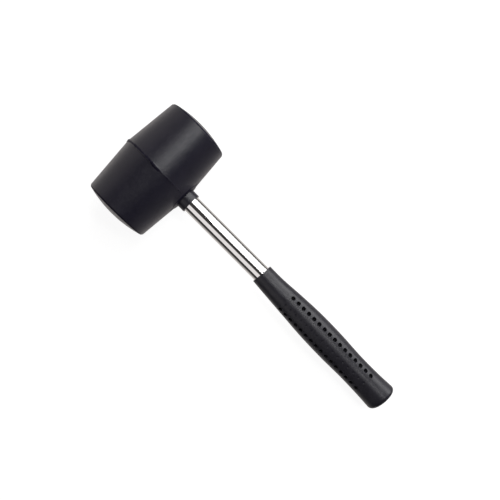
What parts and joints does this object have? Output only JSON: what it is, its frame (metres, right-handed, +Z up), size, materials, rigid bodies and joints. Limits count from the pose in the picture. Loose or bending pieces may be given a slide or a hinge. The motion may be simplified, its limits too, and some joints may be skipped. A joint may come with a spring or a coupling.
{
  "type": "rubber mallet",
  "caption": "Rubber mallet: a barrel-shaped black rubber head with crowned faces on a chromed steel tube, with a dimpled black sleeve grip.",
  "frame": {"origin": "middle of the underside of the bounding box, with the mallet lying on its side", "axes": "+X along the handle from the grip to the head, Y along the striking axis with the grip's deeper swell towards +Y, +Z up through the side of the head"},
  "size_m": [0.3339, 0.1148, 0.0754],
  "materials": {
    "head_rubber": "matte",
    "collar_rubber": "satin",
    "grip_rubber": "satin",
    "chromed_steel": "polished",
    "plug_plastic": "matte",
    "pin_steel": "satin"
  },
  "bodies": {
    "root": {"rubber_head": "head_rubber", "neck_collar": "collar_rubber", "handle_tube": "chromed_steel", "grip": "grip_rubber", "core_plug": "plug_plastic", "butt_plug": "plug_plastic", "anchor_pin": "pin_steel"}
  },
  "joints": []
}
